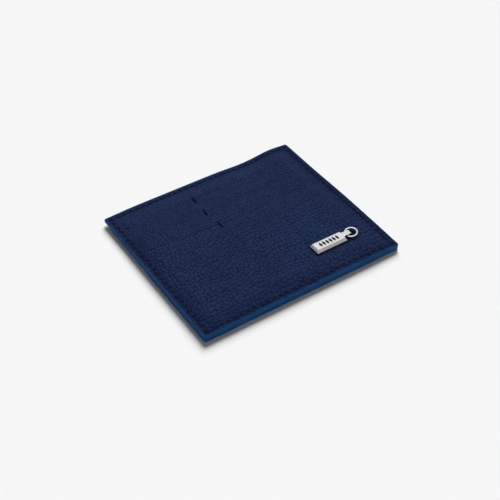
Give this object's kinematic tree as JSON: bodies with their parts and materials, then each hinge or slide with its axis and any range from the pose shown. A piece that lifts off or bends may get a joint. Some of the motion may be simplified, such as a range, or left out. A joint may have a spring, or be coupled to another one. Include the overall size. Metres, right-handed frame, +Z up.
{
  "type": "card holder",
  "caption": "Flat leather card holder with stepped card slots on one side, a plain sewn front, and a metal tag with a loose hanging ring.",
  "frame": {"origin": "middle of the footprint, on the surface it lies on", "axes": "+Z up out of the grained front panel, +X along the width, +Y towards the open top edge and the slot mouths"},
  "size_m": [0.1008, 0.0872, 0.0055],
  "materials": {
    "grained_leather": "pebbled, semi-matt, navy",
    "smooth_leather": "fine grained, satin, navy",
    "lining": "woven, matt, dark navy",
    "stiffener": "pressed fibre board, matt",
    "edge_paint": "flexible satin edge paint, blue",
    "seam_thread": "waxed polyester thread, navy",
    "tack_thread": "waxed polyester thread, near black",
    "plated_metal": "polished plate"
  },
  "bodies": {
    "holder": {"front_panel": "grained_leather", "front_stiffener": "stiffener", "front_lining": "lining", "base_lining": "lining", "pocket_base": "smooth_leather", "card_pocket_1": "smooth_leather", "card_pocket_2": "smooth_leather", "card_pocket_3": "smooth_leather", "back_panel": "grained_leather", "floor_thread_1": "seam_thread", "floor_thread_2": "seam_thread", "floor_thread_3": "seam_thread", "edge_paint": "edge_paint", "mouth_paint_1": "edge_paint", "mouth_paint_2": "edge_paint", "mouth_paint_3": "edge_paint", "mouth_paint_4": "edge_paint", "seam_thread_front": "seam_thread", "seam_thread_back": "seam_thread", "hem_thread_front": "seam_thread", "hem_thread_back": "seam_thread", "tack_stitch_1": "tack_thread", "tack_stitch_2": "tack_thread", "tack_stitch_3": "tack_thread", "tag_plate": "plated_metal", "tag_washer_1": "plated_metal", "tag_washer_2": "plated_metal"},
    "ring": {"tag_ring": "plated_metal"}
  },
  "joints": [
    {"name": "ring_swing", "type": "hinge", "parent": "holder", "child": "ring", "pos_m": [0.03365, -0.0268, 0.0043], "axis": [0, -1, 0], "range_deg": [0, 124]}
  ]
}
